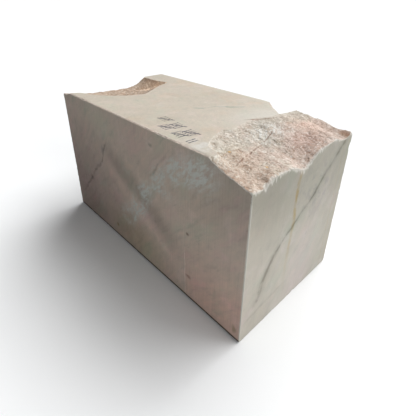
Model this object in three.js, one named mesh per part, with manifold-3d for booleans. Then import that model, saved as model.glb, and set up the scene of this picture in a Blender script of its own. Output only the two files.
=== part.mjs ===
// A marble quarry block, sawn flat on all sides, with its top broken away in three places.
// Millimetres, +Z up. The origin is the middle of the bottom face, X runs along the block,
// the long front face looks along -Y and the right end face along +X.
import * as THREE from 'three';
import { ImprovedNoise } from 'three/addons/math/ImprovedNoise.js';
import { mergeVertices } from 'three/addons/utils/BufferGeometryUtils.js';
import Module from 'manifold-3d';

const wasm = await Module();
wasm.setup();

// Driving dimensions of the sawn block
const LENGTH = 1600;
const DEPTH = 800;
const HEIGHT = 890;
const OUT_OF_SQUARE = 32; // how far the left end leans in at its back corner

// The break surfaces are grids of this spacing, and their cutters stand this far past the block
const GRID = 13;
const MARGIN = 20;

// Slope at which a break surface leaves the sawn top, outside its rim
const RISE = 0.35;

// Right-hand break: where it starts, as [y, x], and how deep it is at the right end, as [y, depth]
const END_RIM = [
  [-400, 565], [-380, 588], [-345, 576], [-330, 505], [-300, 475], [-235, 440], [-145, 412],
  [-110, 440], [-15, 420], [65, 410], [120, 418], [160, 450], [250, 452], [400, 440],
];
const END_DEPTH = [
  [-400, 66], [-345, 74], [-310, 64], [-285, 47], [-150, 50], [-90, 68], [-40, 74], [0, 62],
  [65, 36], [245, 31], [300, 52], [345, 52], [400, 38],
];
const LIP = 0.13; // share of the depth that is lost in the small step at the rim
const LIP_LENGTH = 22;

// Hollows in the right-hand break, which run into it from the right end and from the back
const HOLLOWS = [
  { from: [815, -45], to: [655, 165], width: 48, depth: 13 },
  { from: [705, 420], to: [680, 310], width: 60, depth: 15 },
];

// Crack across the right-hand break, with the stone to the right of it a little lower
const CRACK = { from: [658, -358], to: [563, 43], drop: 5, width: 8 };

// Left-hand break: a shell-shaped scoop open at the left end. Its rim is [angle, radius] about
// its middle, from the front round to the back.
const SCOOP_MIDDLE = [-800, 45];
const SCOOP_DEPTH = 62;
const SCOOP_RIM = [
  [-90, 530], [-70, 410], [-45, 429], [-20, 455], [-12, 452], [-3, 405], [6, 372], [18, 345],
  [36, 361], [40, 290], [50, 231], [75, 177], [90, 210],
];

// Spall at the back: it falls away behind its rim, given as [x, y], and beside a crest
const SPALL_RIM = [[280, 412], [302, 380], [325, 342], [380, 298], [460, 244]];
const SPALL_SLOPE = 0.7;
const SPALL_CREST = { from: [460, 244], to: [476, 400], slope: 1.5 };

// Roughness of the broken stone: [size of the lumps, height]
const ROUGHNESS = [[170, 9], [70, 6], [30, 4]];
const RIM_ROUGHNESS = 0.25;
const CALM_WIDTH = 90; // how far in from a rim the roughness reaches its full height

const noise = new ImprovedNoise();
const { clamp, lerp, smoothstep, degToRad, radToDeg } = THREE.MathUtils;

// Straight-line interpolation in a list of [position, value]
function valueAt(points, position) {
  const next = points.findIndex(([p]) => p > position);
  if (next === 0) return points[0][1];
  if (next < 0) return points[points.length - 1][1];
  const [before, after] = [points[next - 1], points[next]];
  return lerp(before[1], after[1], (position - before[0]) / (after[0] - before[0]));
}

// Lumps of broken stone, calmer near a rim. inside is the distance in from the rim.
function lumps(x, y, inside, seed) {
  const share = lerp(RIM_ROUGHNESS, 1, smoothstep(inside, 0, CALM_WIDTH));
  const height = ROUGHNESS.reduce(
    (sum, [size, h], i) => sum + h * noise.noise(x / size, y / size, seed + 7.3 * i), 0);
  return share * height;
}

// Distance of (x, y) to the left of the line from a to b, and how far along the line it lies
function beside({ from, to }, x, y) {
  const along = new THREE.Vector2(to[0] - from[0], to[1] - from[1]);
  const length = along.length();
  along.normalize();
  const away = new THREE.Vector2(x - from[0], y - from[1]);
  return { left: along.cross(away), share: along.dot(away) / length };
}

function hollowDepth(x, y) {
  return HOLLOWS.reduce((sum, hollow) => {
    const { left, share } = beside(hollow, x, y);
    const fade = smoothstep(share, -0.1, 0.1) * (1 - smoothstep(share, 0.75, 1.25));
    return sum + hollow.depth * fade * Math.exp(-((left / hollow.width) ** 2));
  }, 0);
}

function crackDepth(x, y) {
  const { left, share } = beside(CRACK, x, y);
  const along = smoothstep(share, 0, 0.2) * (1 - smoothstep(share, 0.8, 1));
  return CRACK.drop * along * smoothstep(-left, -CRACK.width, CRACK.width);
}

function endBreak(x, y) {
  const rim = valueAt(END_RIM, y);
  const inside = x - rim;
  if (inside < 0) return HEIGHT - RISE * inside;
  const depth = valueAt(END_DEPTH, y);
  const share = inside / (LENGTH / 2 - rim);
  const lip = LIP * (1 - Math.exp(-inside / LIP_LENGTH));
  const shape = depth * (lip + (1 - LIP) * share);
  return HEIGHT - shape - hollowDepth(x, y) - crackDepth(x, y) + lumps(x, y, inside, 1.5);
}

function scoop(x, y) {
  const [dx, dy] = [x - SCOOP_MIDDLE[0], y - SCOOP_MIDDLE[1]];
  const rim = valueAt(SCOOP_RIM, radToDeg(Math.atan2(dy, dx)));
  const away = Math.hypot(dx, dy);
  if (away > rim) return HEIGHT + RISE * (away - rim);
  return HEIGHT - SCOOP_DEPTH * (1 - (away / rim) ** 2.6) + lumps(x, y, rim - away, 11.5);
}

function spall(x, y) {
  const behindRim = y - valueAt(SPALL_RIM, x);
  const besideCrest = beside(SPALL_CREST, x, y).left;
  const depth = Math.min(SPALL_SLOPE * behindRim, SPALL_CREST.slope * besideCrest);
  return HEIGHT - depth + (depth > 0 ? lumps(x, y, depth, 23.5) : 0);
}

// A three.js geometry as a solid
function solid(geometry) {
  geometry.deleteAttribute('normal');
  geometry.deleteAttribute('uv');
  const merged = mergeVertices(geometry, 1e-3);
  return new wasm.Manifold(new wasm.Mesh({
    numProp: 3,
    vertProperties: new Float32Array(merged.attributes.position.array),
    triVerts: new Uint32Array(merged.index.array),
  }));
}

// What a break takes away: everything above its surface between two corners
function cutter(low, high, surface) {
  const [width, depth] = [high[0] - low[0], high[1] - low[1]];
  const box = new THREE.BoxGeometry(
    width, depth, 1, Math.round(width / GRID), Math.round(depth / GRID), 1);
  box.translate((low[0] + high[0]) / 2, (low[1] + high[1]) / 2, 0);
  const position = box.attributes.position;
  for (let i = 0; i < position.count; i++) {
    const top = position.getZ(i) > 0;
    const z = top ? HEIGHT + LENGTH : surface(position.getX(i), position.getY(i));
    position.setZ(i, z);
  }
  return solid(box);
}

function sawnBlock() {
  const [x, y] = [LENGTH / 2, DEPTH / 2];
  const plan = new THREE.Shape([
    new THREE.Vector2(-x, -y),
    new THREE.Vector2(x, -y),
    new THREE.Vector2(x, y),
    new THREE.Vector2(-x + OUT_OF_SQUARE, y),
  ]);
  return solid(new THREE.ExtrudeGeometry(plan, { depth: HEIGHT, bevelEnabled: false }));
}

function brokenBlock() {
  const [x, y] = [LENGTH / 2 + MARGIN, DEPTH / 2 + MARGIN];
  const breaks = [
    cutter([370, -y], [x, y], endBreak),
    cutter([-x, -y], [-320, y], scoop),
    cutter([270, 225], [500, y], spall),
  ];
  return breaks.reduce((block, taken) => block.subtract(taken), sawnBlock());
}

function geometryOf(manifold) {
  const mesh = manifold.getMesh();
  const geometry = new THREE.BufferGeometry();
  geometry.setAttribute('position', new THREE.BufferAttribute(mesh.vertProperties, 3));
  geometry.setIndex(new THREE.BufferAttribute(mesh.triVerts, 1));
  geometry.computeVertexNormals();
  return geometry;
}

const marble = new THREE.MeshStandardMaterial({ color: 0xc9c0b0, roughness: 0.75, metalness: 0 });
const block = new THREE.Mesh(geometryOf(brokenBlock()), marble);
block.name = 'marble_block';

const group = new THREE.Group();
group.add(block);
export default group;
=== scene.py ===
"""The looks of a sawn marble block with broken ends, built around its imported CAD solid.

Lengths are in metres, in the CAD frame: X along the block, the long front face looks along -Y,
the right end along +X, and Z is up. The block is one mesh piece that stands for the CAD node: its
top follows the CAD surface and adds the fine relief of the broken stone and the chipped edges.
"""

import math

import bpy
import numpy as np
from mathutils import Matrix, Vector
from mathutils.bvhtree import BVHTree


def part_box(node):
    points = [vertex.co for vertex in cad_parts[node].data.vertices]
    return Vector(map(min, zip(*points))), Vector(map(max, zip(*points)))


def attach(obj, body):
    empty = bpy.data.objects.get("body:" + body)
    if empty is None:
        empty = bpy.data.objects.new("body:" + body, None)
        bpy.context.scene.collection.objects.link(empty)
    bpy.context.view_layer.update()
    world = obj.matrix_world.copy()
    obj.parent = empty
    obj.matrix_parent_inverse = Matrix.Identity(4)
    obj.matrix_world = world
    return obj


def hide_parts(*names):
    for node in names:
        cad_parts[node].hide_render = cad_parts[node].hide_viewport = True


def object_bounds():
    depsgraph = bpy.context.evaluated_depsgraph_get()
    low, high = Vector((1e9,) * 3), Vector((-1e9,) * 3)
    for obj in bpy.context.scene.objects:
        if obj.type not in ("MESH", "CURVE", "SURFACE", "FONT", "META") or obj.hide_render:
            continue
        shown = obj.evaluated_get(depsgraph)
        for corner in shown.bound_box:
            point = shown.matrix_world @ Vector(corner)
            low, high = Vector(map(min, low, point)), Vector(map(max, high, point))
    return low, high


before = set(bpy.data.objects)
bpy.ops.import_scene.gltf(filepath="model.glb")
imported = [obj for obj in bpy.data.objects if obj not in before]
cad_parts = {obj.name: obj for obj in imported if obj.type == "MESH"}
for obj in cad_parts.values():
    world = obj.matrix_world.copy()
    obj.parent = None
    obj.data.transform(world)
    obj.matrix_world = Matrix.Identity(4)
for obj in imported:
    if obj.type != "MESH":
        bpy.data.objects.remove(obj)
cad_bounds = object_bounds()

NODE = "marble_block"
LOW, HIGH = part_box(NODE)
TOP = HIGH.z

MM = 0.001
HAIR = 0.2 * MM  # how far inside a side rays are cast, and how low the top counts as broken
RAY_START = 1.0  # the height that rays are cast down from

# The mesh is a lattice of cells on the block's faces, fine at the edges and on the broken stone.
CELLS = (480, 240, 256)  # smallest cells along X, Y and Z
COARSE = 16  # the largest cell, in smallest cells
GROWTH = 0.6  # how fast cells grow with their distance from an edge
SPALL_CELLS = 14  # cells that stay small under the broken rim of the right end
JITTER = 0.6  # how far a column on the break may stray, in cells


# ---------------------------------------------------------------- noise

OFFSET = 1000  # added to noise coordinates, so that every cell's number is above 0
CRYSTAL_TILT = 1.3  # how steeply a crystal's face may lean


def hashed(i, j, seed):
    """A number from 0 to 1 for each pair of whole numbers."""
    n = i.astype(np.uint64) * np.uint64(374761393) + j.astype(np.uint64) * np.uint64(668265263)
    n = (n + np.uint64(seed * 1274126177 + 97)) & np.uint64(0xFFFFFFFF)
    for _ in range(2):
        n = ((n ^ (n >> np.uint64(15))) * np.uint64(2246822519)) & np.uint64(0xFFFFFFFF)
    return (n ^ (n >> np.uint64(13))).astype(float) / 0xFFFFFFFF


def lumps(x, y, size, seed):
    """Smooth noise from -1 to 1, with lumps of this size."""
    u, v = x / size + OFFSET, y / size + OFFSET
    i, j = np.floor(u), np.floor(v)
    s, t = u - i, v - j
    s, t = s * s * (3 - 2 * s), t * t * (3 - 2 * t)
    low = hashed(i, j, seed) * (1 - s) + hashed(i + 1, j, seed) * s
    high = hashed(i, j + 1, seed) * (1 - s) + hashed(i + 1, j + 1, seed) * s
    return 2 * (low * (1 - t) + high * t) - 1


def facets(x, y, size, seed):
    """Relief of tilted crystal faces of this size, from about -1 to 1.

    Each point takes the plane of the nearest crystal.
    """
    u, v = x / size + OFFSET, y / size + OFFSET
    i, j = np.floor(u), np.floor(v)
    best = np.full(u.shape, np.inf)
    height = np.zeros(u.shape)
    for di in (-1, 0, 1):
        for dj in (-1, 0, 1):
            a, b = i + di, j + dj
            dx, dy = u - a - hashed(a, b, seed), v - b - hashed(a, b, seed + 1)
            away = dx * dx + dy * dy
            angle = 2 * math.pi * hashed(a, b, seed + 2)
            tilt = (dx * np.cos(angle) + dy * np.sin(angle)) * CRYSTAL_TILT
            nearer = away < best
            best = np.where(nearer, away, best)
            height = np.where(nearer, hashed(a, b, seed + 3) - 0.5 + tilt, height)
    return height


# ---------------------------------------------------------------- the block's mesh


def cad_tree():
    """The CAD solid's surface, ready for rays."""
    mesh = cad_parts[NODE].data
    return BVHTree.FromPolygons(
        [v.co for v in mesh.vertices], [p.vertices for p in mesh.polygons])


def left_end(y):
    """x of the left end, which is out of square."""
    corners = [v.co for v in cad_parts[NODE].data.vertices if v.co.z < MM and v.co.x < 0]
    front = min(corners, key=lambda c: c.y)
    back = max(corners, key=lambda c: c.y)
    return front.x + (back.x - front.x) * (y - front.y) / (back.y - front.y)


def plan_positions(i, j):
    """x and y of lattice columns."""
    y = LOW.y + (HIGH.y - LOW.y) * j / CELLS[1]
    start = left_end(y)
    return start + (HIGH.x - start) * i / CELLS[0], y


def top_heights():
    """Height of the CAD solid at every lattice column, from rays just inside its sides."""
    tree = cad_tree()
    i, j = np.meshgrid(np.arange(CELLS[0] + 1), np.arange(CELLS[1] + 1), indexing="ij")
    x, y = plan_positions(i, j)
    start = left_end(y)
    x = np.clip(x, start + HAIR, HIGH.x - HAIR)
    y = np.clip(y, LOW.y + HAIR, HIGH.y - HAIR)
    down = Vector((0, 0, -1))
    heights = [
        tree.ray_cast(Vector((a, b, RAY_START)), down)[0].z
        for a, b in zip(x.ravel(), y.ravel())
    ]
    return np.array(heights).reshape(x.shape)


def grown(mask, cells):
    """mask widened by so many cells."""
    for _ in range(cells):
        wide = mask.copy()
        wide[1:] |= mask[:-1]
        wide[:-1] |= mask[1:]
        wide[:, 1:] |= mask[:, :-1]
        wide[:, :-1] |= mask[:, 1:]
        mask = wide
    return mask


def face_cells(across, fine_at, must_split):
    """Splits a face of across[0] by across[1] smallest cells into a quadtree.

    fine_at gives the cell sizes at the low and high sides, first along one direction and then along
    the other. must_split says whether a cell is too large for its place.
    """
    cells = []
    todo = [
        (a, b, COARSE)
        for a in range(0, across[0], COARSE)
        for b in range(0, across[1], COARSE)
    ]
    while todo:
        a, b, size = todo.pop()
        gaps = (a, across[0] - a - size, b, across[1] - b - size)
        allowed = min(max(fine, gap * GROWTH) for fine, gap in zip(fine_at, gaps))
        if size > 1 and (size > allowed or must_split(a, b, size)):
            half = size // 2
            todo += [(a + s, b + t, half) for s in (0, half) for t in (0, half)]
        else:
            cells.append((a, b, size))
    return cells


def lattice_faces(broken):
    """(corner function, cells) for each face.

    A corner function turns a place on the face into lattice (i, j, k).
    """
    nx, ny, nz = CELLS
    near = grown(broken, 2)
    finest, fine = (1, 1, 1, 1), (2, 2, 2, 2)
    upright = (2, 2, 2, 1)  # finest along the top edge

    def on_break(a, b, size):
        return near[a:a + size + 1, b:b + size + 1].any()

    def never(a, b, size):
        return False

    def under_rim(a, b, size):
        return b + size > nz - SPALL_CELLS

    return [
        (lambda a, b: (a, b, nz), face_cells((nx, ny), finest, on_break)),
        (lambda a, b: (b, a, 0), face_cells((ny, nx), fine, never)),
        (lambda a, b: (a, 0, b), face_cells((nx, nz), upright, never)),
        (lambda a, b: (nx - a, ny, b), face_cells((nx, nz), upright, never)),
        (lambda a, b: (nx, a, b), face_cells((ny, nz), upright, under_rim)),
        (lambda a, b: (0, ny - a, b), face_cells((ny, nz), upright, never)),
    ]


def welded(faces):
    """Lattice points and polygons of all faces as one closed surface.

    A cell whose neighbours are finer becomes a fan about its middle.
    """
    index = {}
    for place, cells in faces:
        for a, b, size in cells:
            for s, t in ((0, 0), (size, 0), (size, size), (0, size)):
                index.setdefault(place(a + s, b + t), len(index))
    points = list(index)
    polygons = []
    for place, cells in faces:
        for a, b, size in cells:
            ring = [(a + s, b) for s in range(size)] + [(a + size, b + s) for s in range(size)]
            ring += [(a + size - s, b + size) for s in range(size)]
            ring += [(a, b + size - s) for s in range(size)]
            loop = [index[q] for q in (place(*p) for p in ring) if q in index]
            if len(loop) == 4:
                polygons.append(loop)
                continue
            middle = len(points)
            points.append(place(a + size / 2, b + size / 2))
            polygons += [(middle, p, q) for p, q in zip(loop, loop[1:] + loop[:1])]
    return np.array(points, float), polygons


def at_columns(grid, i, j):
    """Values of a column grid at fractional columns."""
    a = np.minimum(np.floor(i), CELLS[0] - 1)
    b = np.minimum(np.floor(j), CELLS[1] - 1)
    s, t = i - a, j - b
    a, b = a.astype(int), b.astype(int)
    low = grid[a, b] * (1 - s) + grid[a + 1, b] * s
    high = grid[a, b + 1] * (1 - s) + grid[a + 1, b + 1] * s
    return low * (1 - t) + high * t


# Relief of the broken stone: (function, size, height, seed)
RELIEF = (
    (lumps, 0.050, 1.2 * MM, 11),
    (facets, 0.042, 1.2 * MM, 21),
    (facets, 0.021, 1.2 * MM, 31),
    (facets, 0.010, 1.0 * MM, 41),
)
SUNK = 2.0 * MM  # the relief lies this much under the CAD surface
STEP = 7.0 * MM  # drop below the sawn top at which the relief is whole


def relief_share(base):
    """How much of the relief shows where the CAD solid is this high: none of it at the sawn top."""
    return np.clip((TOP - base) / STEP, 0, 1)


def broken_height(base, x, y):
    """Height of the top at (x, y), where the CAD solid's is base."""
    relief = sum(height * shape(x, y, size, seed) for shape, size, height, seed in RELIEF)
    return np.minimum(base + relief_share(base) * (relief - SUNK), TOP)


# The way into the block from each face
SIDES = {
    "front": (0, 1, 0), "back": (0, -1, 0), "left": (1, 0, 0), "right": (-1, 0, 0),
    "top": (0, 0, -1), "bottom": (0, 0, 1),
}
# The block's edges: two faces, how far the edge is worn, and how deep its chips are, both in MM
EDGES = (
    ("front", "top", 5.0, 4), ("back", "top", 3.0, 12), ("left", "top", 3.0, 3),
    ("right", "top", 4.0, 12), ("front", "right", 3.0, 7), ("front", "left", 3.0, 4),
    ("back", "right", 3.0, 10), ("back", "left", 3.0, 10), ("front", "bottom", 6.0, 10),
    ("back", "bottom", 3.0, 12), ("left", "bottom", 3.0, 12), ("right", "bottom", 3.0, 12),
)
CHIP_SIZE, SMALL_CHIP_SIZE = 0.07, 0.023
CHIP_START, CHIP_RANGE = 0.62, 0.6  # the noise that starts a chip, and its rise from there on
CHIP_GAIN = 1.8  # the depth that a rise of 1 gives, in the edge's own chip depths
WEAR_SIZE = 0.011  # how long the ups and downs of a worn edge are
UNEVEN_WEAR, UNEVEN_CHIPS = 0.35, 0.4  # how much the ups and downs change wear and chips


def worn_edges(place, top):
    """Chamfers and chips along every edge. Returns the new places."""
    x, y, z = place.T
    away = {
        "front": y - LOW.y, "back": HIGH.y - y, "left": x - left_end(y), "right": HIGH.x - x,
        "top": top - z, "bottom": z - LOW.z,
    }
    moved = place.copy()
    for seed, (a, b, wear, chip) in enumerate(EDGES, 1):
        names = {a, b}
        if names <= {"front", "back", "top", "bottom"}:
            along, other = x, y + z
        elif names <= {"left", "right", "top", "bottom"}:
            along, other = y, x + z
        else:
            along, other = z, x + y
        chips = lumps(along, other, CHIP_SIZE, 60 + seed)
        chips = chips + 0.5 * lumps(along, other, SMALL_CHIP_SIZE, 80 + seed)
        fine = lumps(along, other, WEAR_SIZE, 100 + seed)
        deep = np.clip(chips - CHIP_START, 0, CHIP_RANGE) * CHIP_GAIN
        reach = wear * (1 + UNEVEN_WEAR * fine) + chip * deep * (1 + UNEVEN_CHIPS * fine)
        inward = np.clip(reach * MM - away[a] - away[b], 0, None) / 2
        moved += inward[:, None] * (np.array(SIDES[a]) + np.array(SIDES[b]))
    return moved


# Flutes that the break has split off the rim of the right end
FLUTE_WIDTH = 0.009
FLUTE_GROUP = 0.060
FLUTE_FORCE = ((-0.40, -0.12, 0.05, 0.40), (1.0, 1.0, 0.6, 0.3))  # places in Y, and the force
FLUTE_LENGTH = (4 * MM, 45 * MM)  # the shortest, and what full force adds to it
FLUTE_REACH = 16 * MM  # how far they reach into the broken top
FLUTE_BITE = (8 * MM, 0, 7 * MM)  # how far the rim moves in and down at full force


def spalled(place, top):
    """Splits the flutes off the rim. Returns the new places."""
    x, y, z = place.T
    flute = 0.5 + 0.5 * lumps(y, 0 * y, FLUTE_WIDTH, 131)
    group = 0.5 + 0.5 * lumps(y, 0 * y, FLUTE_GROUP, 132)
    force = flute * group * np.interp(y, *FLUTE_FORCE)
    shortest, longer = FLUTE_LENGTH
    under = 1 - (top - z) / (longer * force + shortest)
    beside = 1 - (HIGH.x - x) / FLUTE_REACH
    share = force * np.clip(under, 0, 1) * np.clip(beside, 0, 1)
    return place - share[:, None] * np.array(FLUTE_BITE)


BREAK_RIM = 0.8 * MM  # depth below the sawn top at which the stone looks wholly broken
CREST = 4 * MM  # height of relief that counts as 1 in the crest attribute


def block_mesh():
    """The whole block, with how broken, how worn and how high in the relief each point is."""
    heights = top_heights()
    broken = heights < TOP - HAIR
    points, polygons = welded(lattice_faces(broken))
    i, j, k = points.T
    on_top = k == CELLS[2]
    inner = on_top & (i > 0) & (i < CELLS[0]) & (j > 0) & (j < CELLS[1])
    rough = inner & broken[i.astype(int), j.astype(int)]
    i = i + np.where(rough, JITTER * (hashed(i, j, 3) - 0.5), 0)
    j = j + np.where(rough, JITTER * (hashed(i.round(), j, 4) - 0.5), 0)
    x, y = plan_positions(i, j)
    base = at_columns(heights, i, j)
    top = broken_height(base, x, y)
    z = LOW.z + (top - LOW.z) * k / CELLS[2]
    whole = np.stack([x, y, z], 1)
    place = worn_edges(spalled(whole, top), top)
    worn = np.linalg.norm(place - whole, axis=1)
    mesh = bpy.data.meshes.new("marble_block_surface")
    mesh.from_pydata([tuple(p) for p in place], [], polygons)
    mesh.update()
    breaks = np.where(on_top, np.clip((TOP - top) / BREAK_RIM, 0, 1), 0)
    crest = np.where(on_top, (top - base + SUNK * relief_share(base)) / CREST, 0)
    for name, values in (("broken", breaks), ("worn", worn / MM), ("crest", crest)):
        layer = mesh.attributes.new(name, "FLOAT", "POINT")
        layer.data.foreach_set("value", values.astype(np.float32))
    return mesh


block = bpy.data.objects.new("sawn_marble_block", block_mesh())
bpy.context.scene.collection.objects.link(block)
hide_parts(NODE)
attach(block, "root")

# ---------------------------------------------------------------- stone material


class Maker:
    """Short ways to add shader nodes to one node tree. Values may be numbers, tuples or sockets."""

    def __init__(self, tree):
        self.tree = tree

    def put(self, socket, value):
        """Links or sets a socket, and leaves it alone when value is None."""
        if isinstance(value, bpy.types.NodeSocket):
            self.tree.links.new(value, socket)
        elif value is not None:
            socket.default_value = value

    def node(self, kind, output, inputs=(), **settings):
        """Adds a node with these inputs and settings. Returns one of its outputs."""
        node = self.tree.nodes.new(kind)
        for name, value in settings.items():
            setattr(node, name, value)
        for name, value in dict(inputs).items():
            self.put(node.inputs[name], value)
        return node.outputs[output]

    def math(self, operation, a, b=None):
        return self.node("ShaderNodeMath", 0, {0: a, 1: b}, operation=operation)

    def add(self, a, b):
        return self.math("ADD", a, b)

    def times(self, a, b):
        return self.math("MULTIPLY", a, b)

    def step(self, value, low, high):
        """0 below low, 1 above high and smooth between; low may be the larger."""
        rise = {"Value": value, "From Min": low, "From Max": high}
        return self.node("ShaderNodeMapRange", 0, rise, interpolation_type="SMOOTHSTEP")

    def band(self, value, low, high, soft):
        """1 from low to high, and 0 beyond soft edges."""
        return self.times(
            self.step(value, low - soft, low + soft), self.step(value, high + soft, high - soft))

    def vector(self, operation, a, b):
        return self.node("ShaderNodeVectorMath", 0, {0: a, 1: b}, operation=operation)

    def parts(self, vector):
        node = self.tree.nodes.new("ShaderNodeSeparateXYZ")
        self.put(node.inputs[0], vector)
        return node.outputs

    def noise(self, place, scale, detail=2.0, roughness=0.5, output=0):
        return self.node("ShaderNodeTexNoise", output, {
            "Vector": place, "Scale": scale, "Detail": detail, "Roughness": roughness})

    def cells(self, place, scale, output="Distance"):
        return self.node("ShaderNodeTexVoronoi", output, {"Vector": place, "Scale": scale})

    def slanted(self, place, turns, sizes):
        """Coordinates turned by these degrees, with units as long as sizes along each axis."""
        return self.node("ShaderNodeMapping", 0, {
            "Vector": place, "Rotation": [math.radians(t) for t in turns], "Scale": sizes,
        }, vector_type="TEXTURE")

    def mix(self, share, a, b, blend="MIX"):
        node = self.tree.nodes.new("ShaderNodeMix")
        node.data_type = "RGBA"
        node.blend_type = blend
        self.put(node.inputs[0], share)
        self.put(node.inputs[6], a if not isinstance(a, tuple) else (*a, 1))
        self.put(node.inputs[7], b if not isinstance(b, tuple) else (*b, 1))
        return node.outputs[2]

    def curve(self, value, points):
        """A smooth curve through (position, value) points between 0 and 1."""
        node = self.tree.nodes.new("ShaderNodeFloatCurve")
        line = node.mapping.curves[0]
        while len(line.points) < len(points):
            line.points.new(0.5, 0.5)
        for point, place in zip(line.points, points):
            point.location = place
        node.mapping.update()
        self.put(node.inputs["Value"], value)
        return node.outputs[0]


SPAN = HIGH.x - LOW.x  # the places of veins and patches are in block lengths
ANY = 9.0  # a patch radius that leaves its direction free
ROOM = 0.02  # room beside a vein's points, for its curve
SOLID = 0.15  # how much of a vein's half width has its full strength


def vein(make, along, across, points, width, fade=0.02):
    """How much of a vein shows, with its middle through these (along, across) points."""
    points = sorted(points)
    start, end = points[0][0], points[-1][0]
    low = min(c for _, c in points) - ROOM
    high = max(c for _, c in points) + ROOM
    at = make.node("ShaderNodeMapRange", 0, {
        "Value": along, "From Min": start * SPAN, "From Max": end * SPAN})
    places = [((a - start) / (end - start), (c - low) / (high - low)) for a, c in points]
    middle = make.node("ShaderNodeMapRange", 0, {
        "Value": make.curve(at, places), "To Min": low * SPAN, "To Max": high * SPAN})
    away = make.math("ABSOLUTE", make.math("SUBTRACT", across, middle))
    core = make.step(away, width * SPAN, SOLID * width * SPAN)
    ends = make.band(along, (start + fade) * SPAN, (end - fade) * SPAN, fade * SPAN)
    return make.times(core, ends)


def patch(make, place, middle, radii):
    """A soft oval patch about a middle."""
    shifted = make.vector("SUBTRACT", place, tuple(c * SPAN for c in middle))
    scaled = make.vector("DIVIDE", shifted, tuple(r * SPAN for r in radii))
    length = make.node("ShaderNodeVectorMath", "Value", {0: scaled}, operation="LENGTH")
    return make.step(length, 1.0, 0.1)


def tinted(make, colour, share, tint):
    """colour times a tint where share is 1."""
    return make.mix(share, colour, tint, "MULTIPLY")


def toned(make, colour, share, place, table):
    """colour with soft oval patches of other tones: (middle, radii, tint)."""
    for middle, radii, tint in table:
        colour = tinted(make, colour, make.times(share, patch(make, place, middle, radii)), tint)
    return colour


def body_colour(make, place, loose):
    """The sawn stone: warm grey-beige with cloudy tones, mottles and a fine grain."""
    cloud = make.noise(place, 2.2, 4.0, 0.55)
    mottle = make.noise(loose, 11.0, 5.0, 0.6)
    grain = make.noise(place, 230.0, 2.0, 0.7)
    colour = make.mix(make.step(cloud, 0.35, 0.65), (0.475, 0.432, 0.362), (0.525, 0.482, 0.412))
    colour = make.mix(make.step(mottle, 0.50, 0.72), colour, (0.56, 0.505, 0.455))
    colour = make.mix(make.times(make.step(mottle, 0.47, 0.28), 0.55), colour, (0.43, 0.41, 0.35))
    return make.mix(0.30, colour, make.mix(grain, (0.36, 0.33, 0.29), (0.64, 0.60, 0.54)))


def bedding(make, colour, share, place, lean):
    """Streaks, blooms and flecks that lean the same way as the stone's veins."""
    brush = make.noise(make.slanted(place, lean, (0.030, 0.05, 0.13)), 1.0, 5.0, 0.62)
    bloom = make.noise(make.slanted(place, lean, (0.10, 0.12, 0.24)), 1.0, 4.0, 0.6)
    for pattern, low, high, tint in (
            (brush, 0.48, 0.70, (1.09, 1.06, 1.045)), (brush, 0.50, 0.30, (0.88, 0.89, 0.90)),
            (bloom, 0.52, 0.68, (0.93, 1.02, 0.99)), (bloom, 0.46, 0.32, (1.03, 0.96, 1.00))):
        colour = tinted(make, colour, make.times(share, make.step(pattern, low, high)), tint)
    fleck = make.noise(make.slanted(place, lean, (0.008, 0.02, 0.030)), 1.0, 3.0, 0.6)
    sparse = make.step(make.noise(place, 6.0, 2.0), 0.50, 0.62)
    fleck = make.times(make.times(make.step(fleck, 0.60, 0.72), sparse), share)
    return tinted(make, colour, fleck, (0.78, 0.80, 0.82))


# Veins: (points, width, strength, tint). The points are (x, z) on the front and the back, (x, y) on
# the top, (z, y) on the right end, and (y, z) on the left end and for the right end's seams. The
# points of the break's crack and of the painted shadow line along its rim are (y, x).
FRONT_VEINS = (
    ([(-0.46, 0.08), (-0.373, 0.175), (-0.34, 0.208), (-0.287, 0.271), (-0.257, 0.295),
      (-0.217, 0.338), (-0.205, 0.375), (-0.19, 0.401), (-0.155, 0.455)],
     0.013, 0.90, (0.54, 0.56, 0.57)),
    ([(0.08, 0.39), (0.12, 0.415), (0.145, 0.45), (0.167, 0.478), (0.20, 0.50)],
     0.010, 0.8, (0.66, 0.69, 0.68)),
)
FRONT_CLOUD = [
    (-0.14, 0.12), (-0.06, 0.16), (-0.02, 0.205), (0.007, 0.238), (0.07, 0.30), (0.12, 0.365),
    (0.19, 0.41), (0.25, 0.455), (0.32, 0.49), (0.42, 0.50),
]
FRONT_DARK_BAND = [
    (-0.26, 0.42), (-0.12, 0.365), (-0.03, 0.33), (0.07, 0.27), (0.17, 0.20), (0.30, 0.14),
]
FRONT_PALE_BAND = [
    (-0.26, 0.35), (-0.14, 0.305), (-0.03, 0.265), (0.07, 0.21), (0.17, 0.155), (0.30, 0.10),
]
SAW_STEP = 0.263  # where the saw began its second pass along the front face
END_DIAGONAL = [
    (0.09, -0.215), (0.10, -0.20), (0.141, -0.176), (0.174, -0.167), (0.215, -0.15),
    (0.266, -0.1125), (0.291, -0.083), (0.312, -0.05), (0.358, 0.021), (0.374, 0.05),
    (0.408, 0.079), (0.462, 0.142), (0.487, 0.175), (0.54, 0.225),
]
END_VEINS = (
    (END_DIAGONAL, 0.036, 0.9, (0.82, 0.83, 0.82)),
    (END_DIAGONAL, 0.014, 1.0, (0.64, 0.63, 0.61)),
)
END_SEAMS = (
    ([(-0.25, 0.066), (-0.1875, 0.078), (-0.125, 0.086), (-0.03, 0.095)],
     0.010, 0.6, (0.78, 0.77, 0.76)),
)
END_RUST = [
    (0.05, -0.045), (0.20, -0.048), (0.337, -0.042), (0.39, -0.046), (0.44, -0.046),
    (0.483, -0.042), (0.53, -0.028),
]
END_LINES = (0.204, 0.233)  # y of two thin ochre lines that run up the right end
BREAK_CRACK = [(-0.224, 0.411), (-0.15, 0.394), (-0.07, 0.374), (0.05, 0.347)]
RIM_SHADOW_POINTS = [(0.010, 0.238), (0.05, 0.262), (0.09, 0.283), (0.135, 0.305)]
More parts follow.
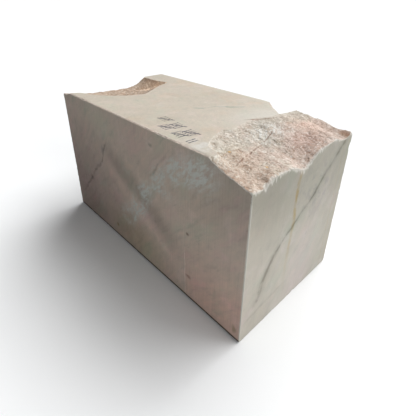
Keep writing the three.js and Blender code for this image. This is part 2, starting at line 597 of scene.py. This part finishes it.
BACK_VEINS = (
    ([(-0.44, 0.06), (-0.39, 0.13), (-0.31, 0.19), (-0.25, 0.27), (-0.18, 0.32), (-0.11, 0.41),
      (-0.05, 0.50)], 0.016, 0.9, (0.66, 0.68, 0.66)),
    ([(0.08, 0.03), (0.15, 0.12), (0.21, 0.23), (0.29, 0.30), (0.36, 0.41), (0.44, 0.53)],
     0.010, 0.8, (0.72, 0.70, 0.68)),
    ([(-0.30, 0.46), (-0.22, 0.43), (-0.12, 0.44), (-0.02, 0.40)], 0.008, 0.6, (0.74, 0.80, 0.76)),
)
LEFT_VEINS = (
    ([(-0.23, 0.44), (-0.15, 0.37), (-0.08, 0.28), (0.0, 0.23), (0.09, 0.14), (0.16, 0.04)],
     0.013, 0.9, (0.64, 0.66, 0.65)),
    ([(-0.21, 0.16), (-0.12, 0.12), (-0.05, 0.06)], 0.007, 0.6, (0.76, 0.74, 0.72)),
)
TOP_VEIN = [(0.03, -0.012), (0.067, 0.007), (0.087, 0.06), (0.127, 0.093), (0.18, 0.16)]

# Soft patches of other tones, and small blots: (middle, radii, tint)
FRONT_TONES = (
    # Painted shade: the front darker towards its left and bottom.
    ((-0.50, 0, 0.14), (0.62, ANY, 0.42), (0.62, 0.56, 0.58)),
    ((-0.02, 0, 0.07), (0.28, ANY, 0.15), (0.86, 0.84, 0.76)),
    ((0.50, 0, 0.52), (0.32, ANY, 0.26), (0.72, 0.74, 0.74)),
    ((-0.22, 0, 0.50), (0.16, ANY, 0.07), (0.94, 1.02, 0.97)),
)
FRONT_BLOTS = (
    ((-0.210, 0, 0.378), (0.016, ANY, 0.034), (0.72, 0.76, 0.80)),
    ((-0.338, 0, 0.212), (0.020, ANY, 0.016), (0.66, 0.62, 0.62)),
    ((0.277, 0, 0.268), (0.010, ANY, 0.010), (0.42, 0.38, 0.36)),
    ((0.280, 0, 0.097), (0.016, ANY, 0.008), (0.66, 0.58, 0.56)),
    ((0.477, 0, 0.041), (0.012, ANY, 0.024), (0.60, 0.62, 0.54)),
    ((-0.157, 0, 0.061), (0.014, ANY, 0.016), (0.62, 0.56, 0.46)),
    ((0.112, 0, 0.508), (0.014, ANY, 0.010), (0.62, 0.68, 0.66)),
)
END_TONES = (
    ((0.5, -0.17, 0.50), (ANY, 0.22, 0.16), (0.81, 0.81, 0.80)),
    ((0.5, 0.05, 0.10), (ANY, 0.12, 0.24), (1.05, 1.00, 1.05)),
)
BREAK_TONES = (
    ((0.38, 0.17, 0.5), (0.13, 0.11, ANY), (1.14, 1.05, 1.02)),
    # Painted shade: the hollow near the right end's rim pinker and darker.
    ((0.445, 0.065, 0.5), (0.075, 0.085, ANY), (0.96, 0.87, 0.86)),
    ((0.50, 0.235, 0.5), (0.05, 0.03, ANY), (0.55, 0.42, 0.32)),
)
# Crushed white stone: (middle, radii)
BREAK_WHITE = (
    ((0.335, -0.215, 0.5), (0.11, 0.055, ANY)),
    ((0.345, 0.02, 0.5), (0.07, 0.12, ANY)),
)
BREAK_RUST = ((0.356, -0.169, 0.52), (0.4575, -0.141, 0.5))  # the middles of two rusty spots


def veins(make, colour, share, along, across, patchy, table):
    """colour with all the veins of a table."""
    for points, width, strength, tint in table:
        line = make.times(vein(make, along, across, points, width), share)
        colour = tinted(make, colour, make.times(make.times(line, patchy), strength), tint)
    return colour


def front_marks(make, colour, front, close, loose, patchy):
    """The front face: browner stone, dark veins, a pale greenish cloud, soft bands, a saw step and
    painted shade towards its left and bottom.
    """
    x, _, z = make.parts(close)
    far_x, _, far_z = make.parts(loose)
    colour = bedding(make, colour, front, loose, (0, 42, 0))
    colour = tinted(make, colour, front, (0.98, 0.89, 0.86))
    colour = toned(make, colour, front, loose, FRONT_TONES)
    past_step = make.step(x, (SAW_STEP - 0.002) * SPAN, (SAW_STEP + 0.002) * SPAN)
    pink = make.times(front, patch(make, loose, (0.42, 0, 0.06), (0.30, ANY, 0.24)))
    pink = make.times(pink, make.add(make.times(past_step, 0.7), 0.3))
    colour = tinted(make, colour, pink, (1.12, 0.96, 0.95))
    shade = make.times(vein(make, far_x, far_z, FRONT_DARK_BAND, 0.085, 0.08), front)
    colour = tinted(make, colour, shade, (0.77, 0.755, 0.76))
    shine = make.times(vein(make, far_x, far_z, FRONT_PALE_BAND, 0.06, 0.08), front)
    colour = tinted(make, colour, shine, (1.18, 1.14, 1.15))
    cloud = vein(make, far_x, far_z, FRONT_CLOUD, 0.10, 0.05)
    feathers = make.noise(make.slanted(close, (0, 48, 0), (0.018, 0.05, 0.045)), 1.0, 5.0, 0.65)
    thick = make.noise(loose, 9.0, 2.0)
    feathers = make.times(make.step(feathers, 0.34, 0.78), make.step(thick, 0.32, 0.64))
    wisp = make.times(make.times(make.times(cloud, feathers), front), 2.0)
    colour = make.mix(make.math("MINIMUM", wisp, 0.80), colour, (0.51, 0.545, 0.51))
    colour = veins(make, colour, front, x, z, patchy, FRONT_VEINS)
    colour = toned(make, colour, front, close, FRONT_BLOTS)
    fine = 0.0008  # half the width of the saw step's line
    line = make.band(x, (SAW_STEP - fine) * SPAN, (SAW_STEP + fine) * SPAN, fine * SPAN)
    line = make.times(make.times(line, front), make.step(z, 0.42 * SPAN, 0.36 * SPAN))
    low = make.step(z, 0.22 * SPAN, 0.18 * SPAN)
    line_colour = make.mix(low, (0.26, 0.23, 0.20), (0.74, 0.62, 0.56))
    return make.mix(make.times(line, make.add(make.times(low, 0.45), 0.3)), colour, line_colour)


def end_marks(make, colour, right, close, loose, patchy):
    """The right end: a grey diagonal vein, an ochre one, mottles, a pink zone, and painted shade
    towards its top and its front edge.
    """
    _, y, z = make.parts(close)
    _, far_y, far_z = make.parts(loose)
    colour = bedding(make, colour, make.times(right, 0.5), loose, (-35, 0, 0))
    high = make.step(far_z, 0.20 * SPAN, 0.50 * SPAN)
    colour = tinted(make, colour, right, (1.15, 1.18, 1.19))
    # Painted shade: the right end darker towards its top.
    colour = tinted(make, colour, make.times(right, high), (0.80, 0.81, 0.79))
    # Painted shade: the right end a little darker towards the front.
    near = make.times(right, make.step(far_y, -0.02 * SPAN, -0.25 * SPAN))
    colour = tinted(make, colour, near, (0.95, 0.93, 0.92))
    colour = toned(make, colour, right, loose, END_TONES)
    mottled = make.times(right, patch(make, loose, (0.5, 0.08, 0.40), (ANY, 0.16, 0.15)))
    blots = make.step(make.noise(loose, 26.0, 3.0, 0.65), 0.46, 0.62)
    colour = tinted(make, colour, make.times(mottled, blots), (0.87, 0.86, 0.92))
    colour = veins(make, colour, right, z, y, patchy, END_VEINS)
    colour = veins(make, colour, right, y, z, patchy, END_SEAMS)
    rust = make.times(vein(make, z, y, END_RUST, 0.012), right)
    strong = make.step(z, 0.10 * SPAN, 0.45 * SPAN)
    rust = make.times(make.times(rust, patchy), make.add(make.times(strong, 0.85), 0.12))
    colour = tinted(make, colour, rust, (0.88, 0.72, 0.42))
    for place in END_LINES:
        thin = make.band(y, (place - 0.002) * SPAN, (place + 0.002) * SPAN, 0.003 * SPAN)
        colour = tinted(make, colour, make.times(make.times(thin, right), 0.45), (0.95, 0.86, 0.66))
    return colour


def top_marks(make, colour, top, close, loose, patchy):
    """The sawn top: slanting saw scratches, a faint vein and whiter stone beside the break."""
    x, y, _ = make.parts(close)
    colour = tinted(make, colour, top, (1.05, 1.02, 0.98))
    colour = bedding(make, colour, make.times(top, 0.5), loose, (0, 0, 47))
    blush = make.step(make.noise(loose, 5.0, 4.0, 0.6), 0.50, 0.66)
    colour = tinted(make, colour, make.times(blush, top), (1.02, 0.97, 0.93))
    scratch = make.noise(make.slanted(close, (0, 0, 47), (0.30, 0.006, 0.1)), 1.0, 3.0, 0.6)
    some = make.step(make.noise(loose, 4.0, 2.0), 0.45, 0.60)
    scored = patch(make, loose, (-0.28, -0.13, 0.55), (0.10, 0.09, ANY))
    some = make.math("MAXIMUM", some, make.times(scored, 1.6))
    dark = make.times(make.times(make.step(scratch, 0.58, 0.70), some), top)
    colour = tinted(make, colour, dark, (0.86, 0.84, 0.82))
    light = make.times(make.step(scratch, 0.42, 0.30), top)
    colour = tinted(make, colour, light, (1.05, 1.05, 1.05))
    line = make.times(make.times(vein(make, x, y, TOP_VEIN, 0.012), top), patchy)
    colour = tinted(make, colour, line, (0.64, 0.76, 0.76))
    pale = make.times(top, patch(make, loose, (0.300, -0.205, 0.55), (0.09, 0.06, ANY)))
    blotchy = make.step(make.noise(loose, 24.0, 3.0, 0.6), 0.40, 0.62)
    colour = make.mix(make.times(make.times(pale, blotchy), 0.8), colour, (0.61, 0.59, 0.55))
    beside = make.times(top, patch(make, loose, (0.30, 0.10, 0.55), (0.16, 0.22, ANY)))
    return make.mix(make.times(beside, 0.6), colour, (0.60, 0.58, 0.52))


def back_marks(make, colour, back, close, loose, patchy):
    """The back: leaning streaks and three veins."""
    x, _, z = make.parts(close)
    colour = bedding(make, colour, back, loose, (0, 42, 0))
    return veins(make, colour, back, x, z, patchy, BACK_VEINS)


def left_marks(make, colour, left, close, loose, patchy):
    """The left end: leaning streaks and two veins."""
    _, y, z = make.parts(close)
    colour = bedding(make, colour, left, loose, (35, 0, 0))
    return veins(make, colour, left, y, z, patchy, LEFT_VEINS)


# Rows of tally strokes in ink on the top: (start x, start y, turn in degrees, how many strokes).
# All the lengths of the tally are in metres.
TALLIES = ((0.070, -0.272, -7.5, 15), (0.165, -0.340, -6.5, 12))
STROKE = 0.052  # how tall a stroke is
INKED = (0.006, 0.012)  # where the ink of a stroke lies within its pitch
CROSSING = 0.005  # half the thickness of the fifth stroke
PITCH = 0.019  # from one stroke to the next
GROUP = 0.115  # from one group of five to the next
CROSSED = 4.4 * PITCH  # how far the fifth stroke runs


def tally_ink(make, place):
    """Generic tally strokes: groups of four uprights with a fifth stroke across them."""
    wobble = make.vector("SUBTRACT", make.noise(place, 45.0, 2.0, output="Color"), (0.5, 0.5, 0.5))
    place = make.vector("ADD", place, make.vector("MULTIPLY", wobble, (0.010, 0.010, 0)))
    ink = 0.0
    for x, y, turn, count in TALLIES:
        shifted = make.vector("SUBTRACT", place, (x, y, 0))
        along, across, _ = make.parts(make.slanted(shifted, (0, 0, turn), (1, 1, 1)))
        in_group = make.math("MODULO", along, GROUP)
        in_pitch = make.math("MODULO", in_group, PITCH)
        upright = make.band(in_pitch, *INKED, 0.0015)
        upright = make.times(upright, make.band(in_group, 0, 4 * PITCH, 0.001))
        upright = make.times(upright, make.band(across, 0, STROKE, 0.002))
        slope = make.math("SUBTRACT", across, make.times(in_group, STROKE / CROSSED))
        crossing = make.band(slope, -CROSSING, CROSSING, 0.001)
        crossing = make.times(crossing, make.band(in_group, 0.001, CROSSED, 0.002))
        groups, singles = divmod(count, 5)
        length = groups * GROUP + singles * PITCH
        upright = make.times(upright, make.band(along, 0, length, 0.001))
        crossing = make.times(crossing, make.band(along, 0, groups * GROUP, 0.001))
        ink = make.add(make.add(upright, crossing), ink)
    worn_off = make.step(make.noise(place, 120.0, 3.0, 0.7), 0.32, 0.50)
    return make.math("MINIMUM", make.times(ink, worn_off), 0.95)


def broken_colour(make, place, loose, crest):
    """The broken stone: white and pinkish crystals, with painted shade that is redder and darker in
    the hollows and a painted highlight on the crests.
    """
    x, _, _ = make.parts(loose)
    crystal = make.parts(make.cells(place, 110.0, "Color"))
    chunk = make.parts(make.cells(loose, 40.0, "Color"))
    pinker = make.noise(loose, 5.5, 3.0, 0.6)
    pinker = make.add(pinker, make.times(make.step(x, 0.32 * SPAN, 0.42 * SPAN), 0.20))
    pinker = make.add(pinker, make.times(make.step(x, 0, -0.30 * SPAN), 0.30))
    tone = make.step(pinker, 0.44, 0.68)
    light = make.mix(tone, (0.62, 0.575, 0.505), (0.64, 0.54, 0.475))
    deep = make.mix(tone, (0.42, 0.36, 0.29), (0.44, 0.33, 0.265))
    mixed = make.add(make.times(crystal[0], 0.45), make.times(chunk[1], 0.30))
    mixed = make.add(mixed, make.times(make.noise(place, 60.0, 3.0, 0.7), 0.40))
    colour = make.mix(make.step(mixed, 0.20, 0.90), deep, light)
    # Painted shade in the hollows of the relief, and a painted highlight on its crests.
    colour = tinted(make, colour, make.step(crest, 0.1, -0.9), (0.91, 0.83, 0.78))
    colour = tinted(make, colour, make.step(crest, 0.2, 1.0), (1.10, 1.09, 1.07))
    sparkle = make.times(make.step(crystal[2], 0.88, 0.97), 0.55)
    colour = make.mix(sparkle, colour, (0.80, 0.77, 0.72))
    colour = toned(make, colour, 1.0, loose, BREAK_TONES)
    crushed = make.noise(make.slanted(place, (0, 0, 40), (0.008, 0.030, 0.02)), 1.0, 3.0, 0.6)
    crushed = make.step(crushed, 0.46, 0.62)
    for middle, radii in BREAK_WHITE:
        white = make.times(patch(make, loose, middle, radii), crushed)
        colour = make.mix(make.times(white, 0.85), colour, (0.74, 0.74, 0.71))
    near_x, near_y, _ = make.parts(place)
    gaps = make.step(make.noise(place, 40.0, 2.0), 0.36, 0.56)
    crack = make.times(vein(make, near_y, near_x, BREAK_CRACK, 0.0035), gaps)
    colour = tinted(make, colour, crack, (0.55, 0.47, 0.43))
    slope = make.step(near_x, 0.30 * SPAN, 0.36 * SPAN)
    slope = make.times(make.step(near_y, -0.06 * SPAN, -0.18 * SPAN), slope)
    colour = tinted(make, colour, slope, (0.95, 0.93, 0.88))
    scoop = make.step(x, -0.20 * SPAN, -0.30 * SPAN)
    colour = tinted(make, colour, scoop, (0.89, 0.84, 0.75))
    # Painted light: the scoop's back face, which turns away from the lamps, painted much paler.
    scoop_painted_light = patch(make, place, (-0.345, 0.125, 0.5), (0.16, 0.11, ANY))
    colour = tinted(make, colour, scoop_painted_light, (1.60, 1.56, 1.50))
    for spot in BREAK_RUST:
        rust = patch(make, place, spot, (0.006, 0.006, ANY))
        colour = make.mix(make.times(rust, 0.9), colour, (0.62, 0.36, 0.10))
    return colour


# Heights of the fine relief
RIDGE = 0.35 * MM  # saw ridges
PIT = 0.6 * MM
LEDGE = 1.5 * MM  # the saw step
CRYSTAL = 1.1 * MM  # crystals on the break


def relief(make, place, broken, front, x):
    """Heights in metres for the bump: fine crystals on the break, saw ridges on the sawn faces."""
    crystals = make.add(make.cells(place, 260.0, "Distance"), make.noise(place, 700.0, 2.0, 0.6))
    ridges = make.noise(make.vector("MULTIPLY", place, (240, 240, 7)), 1.0, 2.0, 0.6)
    pits = make.step(make.noise(place, 140.0, 3.0, 0.7), 0.34, 0.24)
    sawn = make.math("SUBTRACT", make.times(ridges, RIDGE), make.times(pits, PIT))
    ledge = make.step(x, (SAW_STEP - 0.001) * SPAN, (SAW_STEP + 0.001) * SPAN)
    sawn = make.math("SUBTRACT", sawn, make.times(make.times(ledge, front), LEDGE))
    rough = make.times(crystals, CRYSTAL)
    return make.add(make.times(sawn, make.math("SUBTRACT", 1.0, broken)), make.times(rough, broken))


# A face's marks fade in between these two distances from the face
FADE = (0.016, 0.006)  # the front, the back and the right end
TOP_FADE = (0.010, 0.003)
LEFT_FADE = (0.060, 0.040)  # the left end is out of square
ARRIS_FADE = (0.001, 0.003)  # distances from the shared arris, for the front and the right end


def face_masks(make, x, y, z):
    """1 near the front's plane, near the right end's plane, and on each face that has marks."""
    near_front = make.step(y, LOW.y + FADE[0], LOW.y + FADE[1])
    near_right = make.step(x, HIGH.x - FADE[0], HIGH.x - FADE[1])
    front = make.times(near_front, make.step(x, HIGH.x - ARRIS_FADE[0], HIGH.x - ARRIS_FADE[1]))
    right = make.times(near_right, make.step(y, LOW.y + ARRIS_FADE[0], LOW.y + ARRIS_FADE[1]))
    back = make.step(y, HIGH.y - FADE[0], HIGH.y - FADE[1])
    left = make.step(x, LOW.x + LEFT_FADE[0], LOW.x + LEFT_FADE[1])
    top = make.step(z, TOP - TOP_FADE[0], TOP - TOP_FADE[1])
    return near_front, near_right, front, right, back, left, top


def wandering(make, place, scale, detail, reach):
    """Shifts of place that keep veins and patches from looking drawn."""
    drift = make.noise(place, scale, detail, output="Color")
    drift = make.vector("SUBTRACT", drift, (0.5, 0.5, 0.5))
    return make.vector("MULTIPLY", drift, (reach, reach, reach))


def saw_streaks(make, colour, place, right):
    """Upright streaks that the saw left, faint on the right end."""
    streaks = make.noise(make.vector("MULTIPLY", place, (130, 130, 4)), 1.0, 3.0, 0.6)
    plain = make.math("SUBTRACT", 1.0, make.times(right, 0.6))
    pale = make.times(make.step(streaks, 0.52, 0.74), plain)
    colour = tinted(make, colour, pale, (1.10, 1.09, 1.08))
    dark = make.times(make.step(streaks, 0.48, 0.28), plain)
    return tinted(make, colour, dark, (0.90, 0.90, 0.90))


def edge_marks(make, colour, place, masks, worn, patchy):
    """Painted highlights along the front's top arris and beside the near upright arris, worn edges
    painted paler as crushed stone and painted highlight, and a painted contact shadow along the
    bottom of the front face.
    """
    _, y, z = make.parts(place)
    near_front, near_right, front, right, _, _, top = masks
    # Painted highlight: a pale band on the top within 13 mm of the front arris.
    painted_front_arris_highlight = make.step(y, LOW.y + 0.013, LOW.y + 0.007)
    painted_front_arris_highlight = make.times(painted_front_arris_highlight, make.times(top, patchy))
    colour = make.mix(make.times(painted_front_arris_highlight, 0.8), colour, (0.69, 0.62, 0.55))
    # Painted highlight: the right end paler within 10 mm of the near upright arris.
    painted_end_arris_highlight = make.times(make.step(y, LOW.y + 0.010, LOW.y + 0.005), right)
    colour = tinted(make, colour, make.times(painted_end_arris_highlight, patchy), (1.14, 1.14, 1.12))
    # Worn edges painted paler, in part the crushed stone's own colour and in part painted
    # highlight; only edges above the bottom, warmest and brightest along the front's top arris.
    worn_and_highlit_edges = make.times(make.step(worn, 0.3, 2.5), make.step(z, 0.01, 0.05))
    worn_and_highlit_colour = make.mix(make.times(front, top), (0.66, 0.635, 0.58), (0.95, 0.81, 0.70))
    colour = make.mix(make.times(worn_and_highlit_edges, 0.75), colour, worn_and_highlit_colour)
    # The near upright arris painted paler where worn: worn stone and painted highlight.
    arris = make.times(make.times(near_front, near_right), make.step(worn, 0.1, 1.0))
    colour = make.mix(make.times(arris, 0.85), colour, (0.58, 0.57, 0.51))
    # Painted contact shadow: the front face nearly black along its bottom, where the block meets
    # the floor.
    painted_foot_shadow = make.times(make.step(z, 0.021, 0.014), front)
    return tinted(make, colour, painted_foot_shadow, (0.12, 0.12, 0.12))


INK = (0.030, 0.032, 0.060)
SAWN_ROUGHNESS = 0.62
BROKEN_ROUGHNESS = 0.2  # added on the broken stone


def marble_material():
    """The stone with all its marks, on the sawn faces and on the breaks."""
    material = bpy.data.materials.new("sawn_and_broken_marble")
    material.use_nodes = True
    make = Maker(material.node_tree)
    place = make.node("ShaderNodeTexCoord", "Object")
    x, y, z = make.parts(place)
    broken, worn, crest = (
        make.node("ShaderNodeAttribute", "Fac", attribute_name=name)
        for name in ("broken", "worn", "crest"))
    masks = face_masks(make, x, y, z)
    _, _, front, right, back, left, top = masks
    close = make.vector("ADD", place, wandering(make, place, 22.0, 2.0, 0.022))
    loose = make.vector("ADD", close, wandering(make, place, 3.0, 3.0, 0.10))
    patchy = make.step(make.noise(place, 16.0, 3.0, 0.6), 0.34, 0.60)
    patchy = make.add(make.times(patchy, 0.65), 0.35)

    colour = body_colour(make, place, loose)
    colour = front_marks(make, colour, front, close, loose, patchy)
    colour = end_marks(make, colour, right, close, loose, patchy)
    colour = top_marks(make, colour, top, close, loose, patchy)
    colour = back_marks(make, colour, back, close, loose, patchy)
    colour = left_marks(make, colour, left, close, loose, patchy)
    colour = saw_streaks(make, colour, place, right)
    colour = make.mix(make.times(tally_ink(make, place), top), colour, INK)
    colour = make.mix(broken, colour, broken_colour(make, place, loose, crest))
    # Painted shadow: a dark line along part of the break's rim, where the broken stone steps down
    # from the sawn top.
    rim_shadow_line = make.times(vein(make, y, x, RIM_SHADOW_POINTS, 0.006), patchy)
    rim_shadow_line = make.times(rim_shadow_line, make.step(z, TOP - 0.05, TOP - 0.03))
    colour = tinted(make, colour, rim_shadow_line, (0.52, 0.40, 0.33))
    colour = edge_marks(make, colour, place, masks, worn, patchy)

    shader = material.node_tree.nodes["Principled BSDF"]
    make.put(shader.inputs["Base Color"], colour)
    roughness = make.add(make.times(broken, BROKEN_ROUGHNESS), SAWN_ROUGHNESS)
    make.put(shader.inputs["Roughness"], roughness)
    bump = make.node("ShaderNodeBump", 0, {
        "Height": relief(make, place, broken, front, x), "Strength": 1.0, "Distance": 1.0})
    make.put(shader.inputs["Normal"], bump)
    return material


block.data.materials.append(marble_material())

# ---------------------------------------------------------------- floor, light and camera

FLOOR_SIZE = 200
FLOOR_TINT = (0.988, 1.0, 1.008)  # very slightly cool
BACKDROP = 1.05  # how bright the backdrop looks


def by_camera_ray(tree, hidden, seen):
    """A number that is seen for what the camera looks at, and hidden for the light that bounces."""
    ray = tree.nodes.new("ShaderNodeLightPath").outputs["Is Camera Ray"]
    choice = tree.nodes.new("ShaderNodeMapRange")
    choice.inputs["To Min"].default_value = hidden
    choice.inputs["To Max"].default_value = seen
    tree.links.new(ray, choice.inputs["Value"])
    return choice.outputs["Result"]


def pale_floor(bounce, shade):
    """A floor that looks this shade but throws back only this much of the light."""
    bpy.ops.mesh.primitive_plane_add(size=FLOOR_SIZE)
    floor = bpy.context.object
    floor.name = "floor"
    pale = bpy.data.materials.new("pale_floor")
    pale.use_nodes = True
    shader = pale.node_tree.nodes["Principled BSDF"]
    shader.inputs["Roughness"].default_value = 0.9
    shader.inputs["Specular IOR Level"].default_value = 0.0
    level = by_camera_ray(pale.node_tree, bounce, shade)
    cool = pale.node_tree.nodes.new("ShaderNodeVectorMath")
    cool.operation = "MULTIPLY"
    cool.inputs[1].default_value = FLOOR_TINT
    pale.node_tree.links.new(level, cool.inputs[0])
    pale.node_tree.links.new(cool.outputs[0], shader.inputs["Base Color"])
    floor.data.materials.append(pale)


def sun(name, azimuth, elevation, spread, strength):
    """A soft far lamp. Azimuth 0 is +X and 90 is +Y, and spread is its width, all in degrees."""
    lamp = bpy.data.lights.new(name, "SUN")
    lamp.angle = math.radians(spread)
    lamp.energy = strength
    holder = bpy.data.objects.new(name, lamp)
    az, el = math.radians(azimuth), math.radians(elevation)
    way = Vector((math.cos(az) * math.cos(el), math.sin(az) * math.cos(el), math.sin(el)))
    holder.rotation_euler = way.to_track_quat("Z", "Y").to_euler()
    bpy.context.scene.collection.objects.link(holder)


def near_fill(place, aim, size, power):
    """A round soft lamp close to the block."""
    lamp = bpy.data.lights.new("near_fill", "AREA")
    lamp.shape = "DISK"
    lamp.size = size
    lamp.energy = power
    holder = bpy.data.objects.new("near_fill", lamp)
    holder.location = place
    holder.rotation_euler = (Vector(place) - Vector(aim)).to_track_quat("Z", "Y").to_euler()
    bpy.context.scene.collection.objects.link(holder)


def studio_world(ambient):
    """Even light from all round, in front of a white backdrop."""
    world = bpy.data.worlds.new("studio")
    world.use_nodes = True
    background = world.node_tree.nodes["Background"]
    background.inputs["Color"].default_value = (1, 1, 1, 1)
    strength = by_camera_ray(world.node_tree, ambient, BACKDROP)
    world.node_tree.links.new(strength, background.inputs["Strength"])
    bpy.context.scene.world = world


pale_floor(0.35, 0.90)
sun("soft_key_left", 107, 45, 44, 2.02)
sun("soft_key_right", 60, 54, 42, 1.96)
sun("soft_fill_right", 5, 15, 40, 1.22)
sun("soft_fill_left", 195, 30, 60, 0.14)
near_fill((2.0, -2.8, 0.6), (0.3, -0.4, 0.5), 1.0, 21)
studio_world(0.09)
bpy.context.scene.view_settings.view_transform = "Standard"

# The camera's place in block lengths, its angles in degrees, and its lens
EYE = (0.865, -0.763, 0.906)
BEARING, TILT, ROLL = 46.95, 26.53, 0.24
FOCAL_LENGTH, SENSOR = 28.34, 36
SHIFT_X, SHIFT_Y = 0.028, -0.115


def add_camera():
    """A camera that looks down at the block over its near corner."""
    bearing, tilt, roll = (math.radians(a) for a in (BEARING, TILT, ROLL))
    level = Vector((math.cos(bearing), math.sin(bearing), 0))
    backward = Vector((
        math.sin(bearing) * math.cos(tilt), -math.cos(bearing) * math.cos(tilt), math.sin(tilt)))
    rightward = level * math.cos(roll) + backward.cross(level) * math.sin(roll)
    turn = Matrix((rightward, backward.cross(rightward), backward)).transposed()
    lens = bpy.data.cameras.new("camera")
    lens.sensor_width = SENSOR
    lens.lens = FOCAL_LENGTH
    lens.shift_x = SHIFT_X
    lens.shift_y = SHIFT_Y
    camera = bpy.data.objects.new("camera", lens)
    length = cad_bounds[1][0] - cad_bounds[0][0]
    camera.matrix_world = Matrix.Translation(Vector(EYE) * length) @ turn.to_4x4()
    bpy.context.scene.collection.objects.link(camera)
    bpy.context.scene.camera = camera


add_camera()
